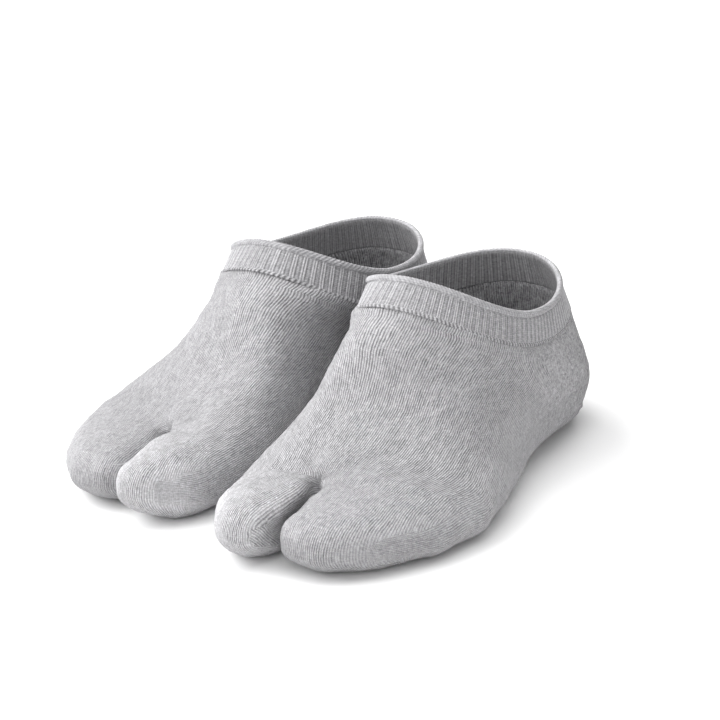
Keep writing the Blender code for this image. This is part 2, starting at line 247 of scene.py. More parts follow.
def pocket_halves(pocket):
    """One section of a toe pocket: its outer line and its facing line, each from top to sole."""
    quarter = np.linspace(0, math.pi / 2, FINE // 4)
    flat = 2 / pocket.power

    def corner(reach_x, from_z, to_z):
        """A quarter turn from the upright side at reach_x to the peak at to_z."""
        x = pocket.peak + (reach_x - pocket.peak) * np.cos(quarter) ** flat
        z = from_z + (to_z - from_z) * np.sin(quarter) ** flat
        return np.stack([x, z], axis=1)

    widest_z = (pocket.low_z + pocket.top_z) / 2 - WIDEST_BELOW_MIDDLE
    away_line = np.vstack([corner(pocket.facing, pocket.facing_top, pocket.top_z),
                           corner(pocket.away, widest_z, pocket.top_z)[::-1],
                           corner(pocket.away, widest_z, pocket.low_z),
                           corner(pocket.facing, pocket.facing_low, pocket.low_z)[::-1]])
    facing_line = np.array([[pocket.facing, pocket.facing_top], [pocket.facing, pocket.facing_low]])

    def in_space(line):
        x, z = line[:, 0], line[:, 1]
        return np.stack([pocket.s + pocket.slant * (x - SPLIT_X), x, settled(z)], axis=1)

    return in_space(away_line), in_space(facing_line)


print("points in a pocket's outer line:", len(pocket_halves(BIG_TOE[0])[0]))

# %% Smooth rows between the sections
def between(rows, pieces, first_speed=None, last_speed=None):
    """Smooth rows between the given ones: a cubic through each point's track, timed by its length."""
    rows = np.array(rows)
    steps = np.diff(rows, axis=0)
    spans = np.maximum(length(steps), 1e-6)[..., None]
    speeds = steps / spans
    ahead, behind = spans[:-1], spans[1:]
    middle = (speeds[:-1] * behind + speeds[1:] * ahead) / (ahead + behind)
    first = speeds[:1] if first_speed is None else first_speed[None]
    last = speeds[-1:] if last_speed is None else last_speed[None]
    speeds = np.concatenate([first, middle, last])
    made = []
    for i, parts in enumerate(pieces):
        for t in np.arange(parts) / parts:
            made.append((2 * t**3 - 3 * t**2 + 1) * rows[i] + (3 * t**2 - 2 * t**3) * rows[i + 1]
                        + ((t**3 - 2 * t**2 + t) * speeds[i] + (t**3 - t**2) * speeds[i + 1]) * spans[i])
    made.append(rows[len(pieces)])
    return np.array(made)


def towards_tip(row, tip):
    """The directions in which a pocket's tracks reach its tip: straight across, so the nose is round."""
    inward = np.array(tip) - row
    inward[:, 0] = 0
    return unit(inward)


print("mesh rows, foot and pockets:", BODY_ROWS, POCKET_ROWS)

# %% One half of the foot, and the cloth that faces the other toes
SPLIT_REACH = 6  # columns over which the cloth turns down into the split
AFTER_SPLIT = 0.08  # the first pocket row, as a share of the way to the next
DIVE = np.array([0.5, 0, -0.87])  # the way the cloth goes down at the split


def half_grid(section_rows, pocket_rows, tip, side):
    """One half of the foot. Next to the split the cloth dives into it, and elsewhere it runs on smoothly."""
    wales = len(pocket_rows[0]) - 1
    column = np.arange(wales + 1)
    near = bell(np.minimum(column, wales - column), SPLIT_REACH)[:, None]
    split, after, third = pocket_rows[:3]
    onward = unit(third - section_rows[-1])
    after = near * after + (1 - near) * (split + (third - split) * AFTER_SPLIT)
    dive = np.where((column < wales / 2)[:, None], DIVE, np.array([1, 0, 0]))
    arriving = unit(near * dive + (1 - near) * onward)
    leaving = unit(near * np.array([0, side, 0]) + (1 - near) * onward)
    body = between(section_rows + [split], BODY_ROWS, last_speed=arriving)
    ends = [split, after, third] + pocket_rows[3:] + [np.broadcast_to(tip, split.shape)]
    pocket = between(ends, POCKET_ROWS, leaving, towards_tip(pocket_rows[-1], tip))
    return np.concatenate([body[:-1], pocket])


def web_grid(facing_rows, tip, side, half):
    """The cloth of a pocket that faces the other one. It shares its edges with its half of the foot."""
    webs = [shared_out(row, WEB_WALES) for row in facing_rows]
    webs.append(np.broadcast_to(tip, webs[-1].shape))
    sideways = np.broadcast_to([0, float(side), 0], webs[0].shape)
    web = between(webs, POCKET_ROWS, sideways, towards_tip(webs[-2], tip))
    web[:, 0], web[:, -1] = half[SPLIT_ROW:, 0], half[SPLIT_ROW:, -1]
    return web


print("split row:", SPLIT_ROW)

# %% The foot's four grids
EVEN_ROWS, EVEN_COLUMNS = 30, 14  # rows and columns shared out evenly behind the split
FILL_ROWS, FILL_AT, FILL_EDGE = 30, 4, 5  # rows kept full, column levelled to, rows it fades over
FILL_REACH = 1.5  # and the columns that are lifted


def even_out(grid):
    """Shares the columns next to the split out evenly, where their tracks crowd together."""
    for row in range(SPLIT_ROW - EVEN_ROWS, SPLIT_ROW):
        grid[row, :EVEN_COLUMNS + 1] = shared_out(grid[row, :EVEN_COLUMNS + 1], EVEN_COLUMNS)


def fill_behind_split(outer, inner):
    """Keeps the cloth full right up to the split, where the two halves would meet in a sharp valley."""
    rows = slice(SPLIT_ROW - FILL_ROWS, SPLIT_ROW)
    level = (outer[rows, FILL_AT, 2] + inner[rows, FILL_AT, 2]) / 2
    lack = np.maximum(level - outer[rows, 0, 2], 0)
    lack *= np.minimum(np.arange(FILL_ROWS, 0, -1) / FILL_EDGE, 1)
    for grid in (outer, inner):
        grid[rows, :, 2] += lack[:, None] * np.exp(-np.arange(grid.shape[1]) / FILL_REACH)


def foot_grids():
    """The foot's outside as four grids of points: two halves, and the two facing webs of the pockets."""
    halves = [section_halves(section) for section in FOOT_SECTIONS]
    grids = []
    for k, pockets, tip, wales, side in ((0, FOUR_TOES, FOUR_TOES_TIP, OUTER_WALES, 1),
                                         (1, BIG_TOE, BIG_TOE_TIP, INNER_WALES, -1)):
        sections = [shared_out(half[k], wales) for half in halves]
        away, facing = zip(*[pocket_halves(pocket) for pocket in pockets])
        half = half_grid(sections, [shared_out(row, wales) for row in away], tip, side)
        grids += [half, web_grid(facing, tip, side, half)]
    outer, four, inner, big = grids
    fill_behind_split(outer, inner)
    even_out(outer)
    even_out(inner)
    for grid in grids:
        grid[..., 2] = np.maximum(grid[..., 2], 0)
    return outer, inner, four, big


outer_grid, inner_grid, four_web, big_web = foot_grids()
print("grids:", outer_grid.shape, inner_grid.shape, four_web.shape, big_web.shape)

# %% [markdown]
# ## One skin from four grids
#
# The body of the foot is two grids, which meet along the split line on top and under the sole. Past
# the split each half closes round its own pocket with a web of cloth. The grids share their edge
# points, so the skin is whole, and every face keeps its place in the knit: its wale, counted round
# the sock, and its course, counted along it. A UV map in stitches is what the yarn pattern reads.

# %% Points, corners and faces
def corner_values(values):
    """A value at each grid point, given to the four corners of each face."""
    return np.stack([values[:-1, :-1], values[:-1, 1:], values[1:, 1:], values[1:, :-1]], axis=2)


def laid(corners, turned):
    """A grid's faces as one list. On a grid seen from behind their corners are turned round."""
    corners = corners.reshape(-1, *corners.shape[2:])
    return corners[:, ::-1] if turned else corners


def numbered(grids):
    """All points of the grids in one list, and each grid as the numbers of its points."""
    numbers, start = [], 0
    for grid in grids:
        count = grid.shape[0] * grid.shape[1]
        numbers.append(start + np.arange(count).reshape(grid.shape[:2]))
        start += count
    return np.vstack([grid.reshape(-1, 3) for grid in grids]), numbers


def share_edges(outer, inner, four, big):
    """Makes the four number grids use the same points where they meet."""
    body = slice(0, len(outer) - len(four) + 1)
    for edge in (0, -1):
        inner[body, edge] = outer[body, edge]
        four[:, edge] = outer[len(outer) - len(four):, edge]
        big[:, edge] = inner[len(inner) - len(big):, edge]
    big[0] = four[0]
    for tip, grids in ((outer[-1, 0], (outer, four)), (inner[-1, 0], (inner, big))):
        for grid in grids:
            grid[-1] = tip


def vertex_normals(points, faces):
    """Outward directions at the points, from the faces round each."""
    a, b, c, d = (points[faces[:, i]] for i in range(4))
    across = np.cross(c - a, d - b)
    normals = np.zeros_like(points)
    for i in range(4):
        np.add.at(normals, faces[:, i], across)
    return unit(normals)


foot_points, (outer, inner, four, big) = numbered([outer_grid, inner_grid, four_web, big_web])
share_edges(outer, inner, four, big)
SHEETS = ((outer, True), (inner, False), (four, False), (big, True))  # and whether each is turned round
foot_faces = np.vstack([laid(corner_values(numbers), turned) for numbers, turned in SHEETS])
foot_normals = vertex_normals(foot_points, foot_faces)
print("points before joining:", len(foot_points), " outside faces:", len(foot_faces))

# %% [markdown]
# ## Where the wales and courses run
#
# The heel is a pouch knitted back and forth, so courses meet there at an angle, along a slanting line
# called the mitre. In front of it the courses run straight round the foot. At the toes the wales of
# the instep run forward and down over the end of each pocket, and meet the wales of the sides along
# a gore. Each of these fields of stitches gets its own numbering.

# %% The mitre
MITRE_TOP = (26, 49)  # mesh row and outer column where the mitre starts, at the side of the ankle
MITRE_TURN = 60  # outer column where it meets the heel-turn row


def lengths_along(grid):
    """How far each point lies along its own column, from the top edge."""
    steps = length(np.diff(grid, axis=0))
    return np.vstack([np.zeros(grid.shape[1]), np.cumsum(steps, axis=0)])


def mitre_rows(wales):
    """The mesh row of the mitre at each column of a half with that many wales."""
    shares = np.arange(wales + 1) * OUTER_WALES / wales
    return np.interp(shares, [MITRE_TOP[1], MITRE_TURN], [MITRE_TOP[0], HEEL_TURN_ROW])


print("the mitre runs from mesh row", MITRE_TOP[0], "to", HEEL_TURN_ROW)

# %% Stitches of the foot's body
BOW_ROWS = [0, 22, 48, 75, 100, 130, 174]
WALES_A_COLUMN = [1.27, 1.32, 1.31, 1.24, 1.17, 1.16, 1.16]  # the wales spread a little towards the toes
BOW_WALES = [-1.5, 0.8, 0.5, -0.3, -0.4, -1.1, 1]  # and bow on their way
BOW_COLUMNS = [0, 16, 44, 70]  # fully so between the middle two


def body_stitches(grid, side):
    """Wale and course numbers in front of the mitre, and course numbers behind it."""
    wales = grid.shape[1] - 1
    along = lengths_along(grid)
    first = int(round(MITRE_TOP[1] * wales / OUTER_WALES))
    used_by_heel = np.maximum(along[SPLIT_ROW - BODY_ROWS[-1]] - along[SPLIT_ROW - BODY_ROWS[-1], first], 0)
    columns = np.arange(wales + 1)
    bow, to_a_column = (np.interp(np.arange(len(grid)), BOW_ROWS, table)[:, None]
                        for table in (BOW_WALES, WALES_A_COLUMN))
    spread = np.interp(columns * OUTER_WALES / wales, BOW_COLUMNS, [0, 1, 1, 0])
    wale = side * (columns * to_a_column + bow * spread)
    return np.stack([wale, (along - used_by_heel) / COURSE], axis=2), np.stack([wale, along / COURSE], axis=2)


def top_wales():
    """How the wales lie across the top where the pockets part: their x, in order, and their numbers."""
    halves = []
    for grid, side, columns in ((inner_grid, -1, slice(INNER_WALES // 2, 0, -1)),
                                (outer_grid, 1, slice(0, OUTER_WALES // 2))):
        halves.append([grid[SPLIT_ROW, columns, 1], body_stitches(grid, side)[0][SPLIT_ROW, columns, 0]])
    x, wales = np.hstack(halves)
    return np.maximum.accumulate(x), wales


TOP_X, TOP_WALE = top_wales()
print("wales over the top at the split:", round(TOP_WALE[-1] - TOP_WALE[0]))

# %% Stitches of the toe pockets' caps
NOSES = {"big": (226, 15, 12.5), "four": (214, 12, 11)}  # centre s, z and radius of each end
CORNER_ROW = SPLIT_ROW + sum(POCKET_ROWS[:4])
CAP_BLEND = 24  # mesh rows over which the wales turn straight forward
CAP_COURSE = 200  # the cap's first course, well apart from those of the body


def cap_stitches(grid, nose, first_row=SPLIT_ROW, wale=None):
    """Wale and course numbers of a pocket's cap, which wraps forward over the end and back below."""
    centre_s, centre_z, radius = NOSES[nose]
    s, x, z = np.moveaxis(grid, 2, 0)
    ahead, above = s - centre_s, z - centre_z
    turned = np.arctan2(np.maximum(ahead, 0), above)
    back = np.maximum(-ahead, 0) * np.where(above > 0, -1, 1)
    row = np.arange(len(grid)) + first_row
    edge = grid[np.minimum(row, CORNER_ROW) - first_row, 0, 1][:, None]
    across = np.interp(x - edge + SPLIT_X, TOP_X, TOP_WALE)
    if wale is not None:
        across = wale + (across - wale) * soft_step(SPLIT_ROW, SPLIT_ROW + CAP_BLEND, row)[:, None]
    return np.stack([across, CAP_COURSE + (back + radius * turned) / COURSE], axis=2)


print("courses round the big toe's end:", round(math.pi * NOSES["big"][2] / COURSE))

# %% Stitches of the facing walls and gussets
SIDE_PITCH = 0.92
GUSSET_RUN = (0.66, -0.75)  # across the slanting wales of the gusset, in s and z
GUSSET_LEAN = 0.93  # a face past the corner belongs to the gusset where it leans in more than this
GUSSET_FRONT = 0.9  # how steeply the gusset's rear edge runs down from that corner
WALL_LEAN = 0.2  # behind it the facing wall takes every face that leans in more than this
CAP_LEAN = 0.78  # a pocket's face belongs to its cap while it leans sideways less than this
GORES = {  # the gore along each pocket's facing edge, from the split to its corner
    "big": np.array([[193.6, -5.2, 24], [205, -6.4, 23.4], [216, -7.4, 22], [228, -8.6, 19.8]]),
    "four": np.array([[193.6, -3.3, 24], [203, -2.6, 22.2], [212, -1.2, 20.8], [224, 3.6, 20.2]]),
}


def side_stitches(grid):
    """Wale and course numbers on a facing wall: the wales run forward."""
    return np.stack([grid[..., 2] / SIDE_PITCH, grid[..., 0] / COURSE], axis=2)


def gusset_stitches(grid):
    """Numbers on the small gusset in front of a facing wall, where the wales slant."""
    s, z = grid[..., 0], grid[..., 2]
    return np.stack([(GUSSET_RUN[0] * s + GUSSET_RUN[1] * z) / SIDE_PITCH,
                     (GUSSET_RUN[0] * z - GUSSET_RUN[1] * s) / COURSE], axis=2)


def leans(grid, turned):
    """How far each face of a grid faces sideways, from -1, inwards, to 1, outwards."""
    across = np.cross(grid[1:, 1:] - grid[:-1, :-1], grid[1:, :-1] - grid[:-1, 1:])
    lean = unit(across)[..., 1]
    return -lean if turned else lean


def pocket_stitches(grid, nose, turned, cap):
    """The numbering of a pocket's faces, and where it applies: cap, facing wall and gusset."""
    gore = GORES[nose]
    s, _, z = np.moveaxis(corner_values(grid).mean(axis=2), 2, 0)
    to_facing = leans(grid, turned) * (1 if nose == "big" else -1)
    corner_s, corner_z = gore[-1, 0], gore[-1, 2]
    ahead = s > corner_s - GUSSET_FRONT * np.maximum(corner_z - z, 0)
    below = (to_facing > np.where(ahead, GUSSET_LEAN, WALL_LEAN)) & (z < np.interp(s, gore[:, 0], gore[:, 2]))
    on_cap = ~below & (to_facing > -CAP_LEAN)
    wall = np.where((below & ahead)[..., None, None], corner_values(gusset_stitches(grid)),
                    corner_values(side_stitches(grid)))
    return np.where(on_cap[..., None, None], corner_values(cap), wall), below | on_cap


def half_stitches(grid, side, nose):
    """The numbering of one half of the foot, field by field."""
    front, heel = body_stitches(grid, side)
    rows, columns = np.arange(len(grid) - 1)[:, None], np.arange(grid.shape[1] - 1)[None]
    behind = rows < mitre_rows(grid.shape[1] - 1)[None, :-1]
    past_top = columns * OUTER_WALES / (grid.shape[1] - 1) > MITRE_TOP[1]
    body = np.where((behind & past_top)[..., None, None], corner_values(heel), corner_values(front))
    pocket, applies = pocket_stitches(grid, nose, side > 0, cap_stitches(grid, nose, 0, front[..., 0]))
    return np.where(((rows >= SPLIT_ROW) & applies)[..., None, None], pocket, body)


fields = [half_stitches(outer_grid, 1, "four"), half_stitches(inner_grid, -1, "big"),
          pocket_stitches(four_web, "four", False, cap_stitches(four_web, "four"))[0],
          pocket_stitches(big_web, "big", True, cap_stitches(big_web, "big"))[0]]
foot_stitches = np.vstack([laid(field, turned) for field, (_, turned) in zip(fields, SHEETS)])
print("numbered faces:", len(foot_stitches))

# %% [markdown]
# ## Folds, seams and fullness
#
# A fitted sock has few folds, so each is placed one by one: a soft trough or ridge along a short line,
# deepest at the line and fading out beside it. Depths are uneven, because cloth never creases twice
# the same way. The broad, raised ones are no creases: they fill the cloth out where a foot presses it.
# The mitre, the gores at the toes and the pull of the cuff's seam are shallow lines of their own.

# %% The folds
Fold = namedtuple("Fold", "where s0 x0 z0 s1 x1 z1 width depth")
FOLD_WANDER = 0.03  # how far a fold's middle strays from the straight line, as a share of its length
FOLDS = [
    Fold("lip of the four toes", 192, 0, 28, 199, 1, 25.6, 2.4, 0.5),
    Fold("big toe pull", 190, -9, 29.5, 172, -20, 36, 4, -0.14),
    Fold("four toe pull", 188, 3, 29.5, 170, 15, 36, 4.5, -0.16),
    Fold("second toe pull", 196, 2, 28, 186, 20, 28, 3, -0.22),
    Fold("ankle bend, outer", 126, 22, 62, 98, 37, 42, 5.5, -0.55),
    Fold("ankle bend, lower", 132, 24, 52, 112, 40, 30, 5, -0.3),
    Fold("ankle bend, inner", 126, -36, 60, 100, -41, 44, 5, -0.5),
    Fold("under the ankle, outer", 62, 39, 40, 88, 38, 30, 6, -0.45),
    Fold("under the ankle, inner", 58, -42, 40, 84, -41, 28, 5.5, -0.42),
    Fold("heel, outer", 22, 30, 30, 44, 37, 20, 4.5, -0.35),
    Fold("heel, inner", 20, -34, 33, 40, -40, 22, 4.5, -0.38),
    Fold("above the heel", 8, 8, 44, 12, -22, 47, 4.5, -0.3),
    Fold("ball, outer", 172, 48, 18, 184, 44, 14, 4, -0.3),
    Fold("arch, inner", 96, -39, 26, 128, -40, 16, 6.5, -0.5),
    Fold("arch, second", 112, -39.5, 30, 140, -40, 22, 5, -0.3),
    Fold("instep rise", 140, -20, 60, 160, -26, 45, 7, 0.35),
    Fold("full instep, inner", 118, -33, 66, 146, -29, 50, 9, 1),
    Fold("full instep, outer", 117, 22, 65, 128, 28, 46, 9, 1.1),
    Fold("full heel, outer", 18, 29.5, 24, 24, 28, 38, 9, 0.75),
    Fold("full heel, inner", 18, -31, 26, 24, -30, 40, 9, 0.65),
    Fold("full side, outer", 112, 41, 8, 138, 48, 8.5, 10, 2.3),
    Fold("waist of the sole, outer", 62, 32, 5, 84, 36.5, 8, 8, -0.45),
    Fold("full ball, outer", 162, 48, 4.5, 184, 45, 5, 7.5, 1.75),
    Fold("shoulder of the four toes", 198, -2, 24, 215, -1.5, 21, 3.8, -1.15),
]


print(len(FOLDS), "folds, the highest:", max(FOLDS, key=lambda fold: fold.depth).where)

# %% How far the cloth stands out for folds and unevenness
FAR = 1000.0  # more than any distance on a sock


def distance_to(points, line):
    """How far each point lies from a line of points, and how far along the line, from 0 to 1."""
    line = np.asarray(line, float)
    lengths = length(np.diff(line, axis=0))
    starts = np.concatenate([[0], np.cumsum(lengths)])
    nearest, along = np.full(len(points), FAR), np.zeros(len(points))
    for a, b, start, reach in zip(line[:-1], line[1:], starts, lengths):
        share = np.clip((points - a) @ (b - a) / reach ** 2, 0, 1)
        away = length(points - a - share[:, None] * (b - a))
        closer = away < nearest
        nearest[closer], along[closer] = away[closer], (start + share * reach)[closer]
    return nearest, along / starts[-1]


def lumps(points, size, waves=28):
    """A smooth random height for each point, of about unit size, with bumps of the given size."""
    directions = rng.normal(size=(waves, 3))
    directions *= (2 * math.pi / size / length(directions))[:, None]
    directions *= rng.uniform(0.6, 1.4, size=(waves, 1))
    starts = rng.uniform(0, 2 * math.pi, size=waves)
    return np.sin(points @ directions.T + starts).sum(axis=1) * math.sqrt(2 / waves)


def folds(points):
    """The sum of all folds at each point."""
    height = np.zeros(len(points))
    for fold in FOLDS:
        start, end = np.array(fold[1:4]), np.array(fold[4:7])
        middle = (start + end) / 2 + rng.normal(size=3) * FOLD_WANDER * length(end - start)
        away, _ = distance_to(points, [start, middle, end])
        height += fold.depth * bell(away, fold.width)
    return height


print("widest fold, mm:", max(fold.width for fold in FOLDS))

# %% Seams and gores
MITRE_RAISED, MITRE_WIDTH = 0.34, 1
MITRE_GROOVE = 0.6  # the groove beside the mitre, as a share of its height
GORE_RAISED, GORE_WIDTH = 0.34, 1.1
GORE_FADE = 0.25  # share of a gore over which it rises from the split
EDGE_RAISED, EDGE_WIDTH = {"big": 1.9, "four": 0.55}, 5  # fullness along each pocket's facing edge
EDGE_FROM = {"big": (0, 0.35), "four": (0.5, 1)}  # where it begins, along the gore
TUCK, TUCK_REACH = 0.06, 1.2  # the seam pulls the cloth in under the cuff
PUFF, PUFF_AT, PUFF_REACH = 0.45, 6.5, 4.5  # and below that the cloth stands out again
SEAM_PULL = (20, 90)  # both grow from the heel to the instep, between these s

from_seam = np.zeros(len(foot_points))
from_seam[outer], from_seam[inner] = lengths_along(outer_grid), lengths_along(inner_grid)
from_seam[four], from_seam[big] = FAR, FAR


def mitre_line(grid):
    """The points of the mitre on one half of the foot."""
    wales = grid.shape[1] - 1
    rows = mitre_rows(wales)
    first = int(round(MITRE_TOP[1] * wales / OUTER_WALES))
    return np.array([grid[int(round(rows[column])), column] for column in range(first, wales + 1, 2)])


def seams(points):
    """The relief of the mitre, the gores, and the tuck and puff under the cuff."""
    height = np.zeros(len(points))
    for grid in (outer_grid, inner_grid):
        away, _ = distance_to(points, mitre_line(grid))
        height += MITRE_RAISED * bell(away, MITRE_WIDTH)
        height -= MITRE_GROOVE * MITRE_RAISED * bell(away - 2 * MITRE_WIDTH, MITRE_WIDTH)
    for nose, gore in GORES.items():
        away, along = distance_to(points, gore)
        height += EDGE_RAISED[nose] * soft_step(*EDGE_FROM[nose], along) * bell(away, EDGE_WIDTH)
        height += GORE_RAISED * soft_step(0, GORE_FADE, along) * bell(away, GORE_WIDTH)
    front = soft_step(*SEAM_PULL, points[:, 0])
    height -= TUCK * bell(from_seam, TUCK_REACH) * (0.1 + 0.9 * front)
    height += PUFF * bell(from_seam - PUFF_AT, PUFF_REACH) * (0.3 + 0.7 * front)
    return height


print("seams below the cuff, mm:", MITRE_RAISED, GORE_RAISED)

# %% The split kept open, and all the relief
CLEFT_OPENED = {"four": 0.9, "big": 0.4}  # the facing walls stand back a little from each other
CLEFT_FROM = (196, 205)  # and do so wholly from the second of these s


def cleft():
    """The relief that keeps the split between the toes open."""
    height = np.zeros(len(foot_points))
    past = soft_step(*CLEFT_FROM, foot_points[:, 0])
    for nose, grids, facing in (("four", (outer, four), -1), ("big", (inner, big), 1)):
        for grid, first in zip(grids, (SPLIT_ROW, 0)):
            points = grid[first:]
            turned_in = soft_step(0.25, 0.75, facing * foot_normals[points, 1])
            height[points] = -CLEFT_OPENED[nose] * turned_in * past[points]
    return height


LUMPS = ((0.14, 16), (0.07, 6), (0.035, 2.6))  # height and size of the cloth's unevenness
CLEAR_OF_FLOOR = 2.5  # the relief is whole this far above the floor

relief = folds(foot_points) + seams(foot_points) + cleft()
relief += sum(height * lumps(foot_points, size) for height, size in LUMPS)
relief *= soft_step(0, CLEAR_OF_FLOOR, foot_points[:, 2])
foot_outside = foot_points + foot_normals * relief[:, None]
foot_outside[:, 2] = np.maximum(foot_outside[:, 2], 0)
print("relief, mm:", span(relief))

# %% [markdown]
# ## The inside of the cloth
#
# Knit has two faces, and an open ankle shows the inner one. The inside is the same skin, moved in by
# the thickness of the cloth and made with half as many rows and columns, because it is only seen
# through the opening. A band of triangles at the top edge joins the two into one closed shell.

# %% Inner wall
FOOT_WALL = 1.4  # thickness of the cloth
LOWEST_INSIDE = 0.6  # the sole is trodden thinner
FLAT_PITCH = np.array([1 / SIDE_PITCH, 1 / COURSE])  # inside, stitches are numbered straight from the place

inside = foot_outside - foot_normals * FOOT_WALL
inside[:, 2] = np.maximum(inside[:, 2], LOWEST_INSIDE)
shell_points = np.vstack([foot_outside, inside])
start = len(foot_outside)
lining = np.vstack([laid(corner_values(grid[::2, ::2]), not turned) for grid, turned in SHEETS]) + start
top_ring = np.concatenate([outer[0, :-1], inner[0, :0:-1]])
rim = []
for k in range(0, len(top_ring), 2):
    first, second, third = (top_ring[(k + step) % len(top_ring)] for step in range(3))
    rim += [[first, second, first + start], [second, third, third + start],
            [second, third + start, first + start]]
shell_faces = foot_faces.tolist() + lining.tolist() + rim
shell_stitches = [*foot_stitches, *(shell_points[lining][..., [1, 0]] * FLAT_PITCH),
                  *(shell_points[np.array(rim)][..., [1, 0]] * FLAT_PITCH)]
print("foot faces, outside, inside and at the rim:", len(foot_faces), len(lining), len(rim))

# %% [markdown]
# ## The ribbed cuff
#
# The cuff is a two-by-two rib: two wales of knit stitches stand up and two of purl lie back, so it
# grips like a spring. Its top edge is folded into a rolled welt, and its lower edge is linked to the
# foot with a row of stitches that stands up as a beaded ridge. The ribs are real relief here. They
# are carried round the seam line as a cut edge whose every point may move out or in.

# %% The cuff's cut edge
OUTER_RIBS, INNER_RIBS, RIB_STEPS = 46, 36, 14
RIB_DEPTH = 0.6  # from the top of a rib to its recess
CUFF_OUT, CUFF_IN = 0.35, -1.35  # the cuff's two faces, measured outwards from the seam line
Edge = namedtuple("Edge", "share up out ribs beads", defaults=(0,))


def arc(share, up, out, tall, wide, first, last, steps, ribs, beads=0):
    """Points of a cut edge along part of an ellipse. Angles in degrees, 0 is outwards and 90 up."""
    made = []
    for angle in np.radians(np.linspace(first, last, steps)):
        made.append(Edge(share, up + tall * math.sin(angle), out + wide * math.cos(angle), ribs, beads))
    return made


def cuff_edge():
    """The cuff's closed cut edge: linking ridge, ribbed outside, welt, inside and lower lip."""
    edge = arc(0, 0.05, 0.35, 0.8, 0.62, -95, 62, 9, 0.15, 1)
    edge += [Edge(0, 1.05, 0.42, 0.45, 0.3), Edge(0, 1.5, CUFF_OUT, 0.9)]
    for share in np.linspace(0.08, 1, 13):
        edge.append(Edge(share, 1.5 * (1 - share) - 3.9 * share, CUFF_OUT, 1))
    edge += [Edge(1, -3.55, 0.2, 0.7), Edge(1, -3.25, 0.05, 0.45), Edge(1, -2.95, 0.18, 0.5)]
    edge += arc(1, -1.5, 0.1, 1.5, 1.15, -62, 110, 11, 0.95)
    edge += [Edge(1, -0.25, -0.85, 0.4), Edge(1, -0.75, -1.25, 0.5)]
    edge += [Edge(1 - share, -1.6 * (1 - share), CUFF_IN, 0.9) for share in np.linspace(0.04, 0.94, 8)]
    return edge + [Edge(0, 0.35, CUFF_IN, 0), Edge(0, 0.3, -0.3, 0), Edge(0, 0.1, 0.02, 0)]


def cuff_ring():
    """The seam line all round, the cuff's height there, and its directions up and out."""
    rings = []
    for section in (RIM, FOOT_SECTIONS[0]):
        outer_half, inner_half = section_halves(section)
        outer_half = shared_out(outer_half, OUTER_RIBS * RIB_STEPS)
        inner_half = shared_out(inner_half, INNER_RIBS * RIB_STEPS)
        rings.append(np.vstack([outer_half[:-1], inner_half[:0:-1]]))
    rim, seam = rings
    height = length(rim - seam)[:, None]
    up = (rim - seam) / height
    around = np.roll(seam, -3, axis=0) - np.roll(seam, 3, axis=0)
    return seam, height, up, unit(np.cross(around, up))


seam, cuff_height, cuff_up, cuff_out = cuff_ring()
print("cuff height, mm:", span(cuff_height))

# %% Ribs and welt in section
RIB_PLACES = [0, 0.06, 0.13, 0.2, 0.265, 0.33, 0.4, 0.47, 0.53, 0.64, 0.77, 0.9, 1]
RIB_HEIGHTS = [-0.9, 0.25, 1, 0.2, -0.8, 0.2, 1, 0.25, -0.9, -0.25, -0.05, -0.25, -0.9]
WELT_WALES = 4  # wales in a rib's width
RIBS = OUTER_RIBS + INNER_RIBS


def rib_relief(phase):
    """A rib's height from -1 to 1: two narrow knit wales, then the broad, low purl panel."""
    return np.interp(np.mod(phase, 1), RIB_PLACES, RIB_HEIGHTS)


def welt_relief(phase):
    """The height of the welt, where two soft ribs run over the edge for each rib below."""
    return 0.75 * np.cos(4 * math.pi * phase) + 0.25 * np.cos(2 * math.pi * WELT_WALES * phase + 0.6)


print("ribs round a cuff:", RIBS)

# %% The cuff's points
RIB_UNEVEN, RIB_LEAN = (0.82, 1.12), 0.035  # heights of single ribs, and how they lean, in ribs
BEAD_UNEVEN, BEAD_RAISED = (0.65, 1.25), 0.34
BEAD_AT_HEEL, BEAD_GROWTH = 0.25, (15, 95)  # height there, and the s between which it becomes whole
BEAD_LEAN = 0.12  # how far the beads lean over for each millimetre upwards, in ribs
SCALLOP = 0.22  # the ridge's lower edge hangs down this far under each bead
WAVER, WAVES = 0.1, 5  # the ribs sway, this many times round the cuff
WELT_UP = (-3.4, -2.6)  # heights between which the ribs give way to the welt
WELT_GROOVE, WELT_GROOVE_BELOW = 0.4, -2.9  # the groove under the welt: its share at the heel, its height
WELT_SLANT = 0.8  # how far a wale leans round the welt, in ribs
OVER_WELT, INTO_CUFF = (-3.6, 0.6), (0.2, -0.9)  # where it does so: going up, and then going inwards
INSIDE_COURSE = 60  # added to the heights inside, so that no course is numbered twice


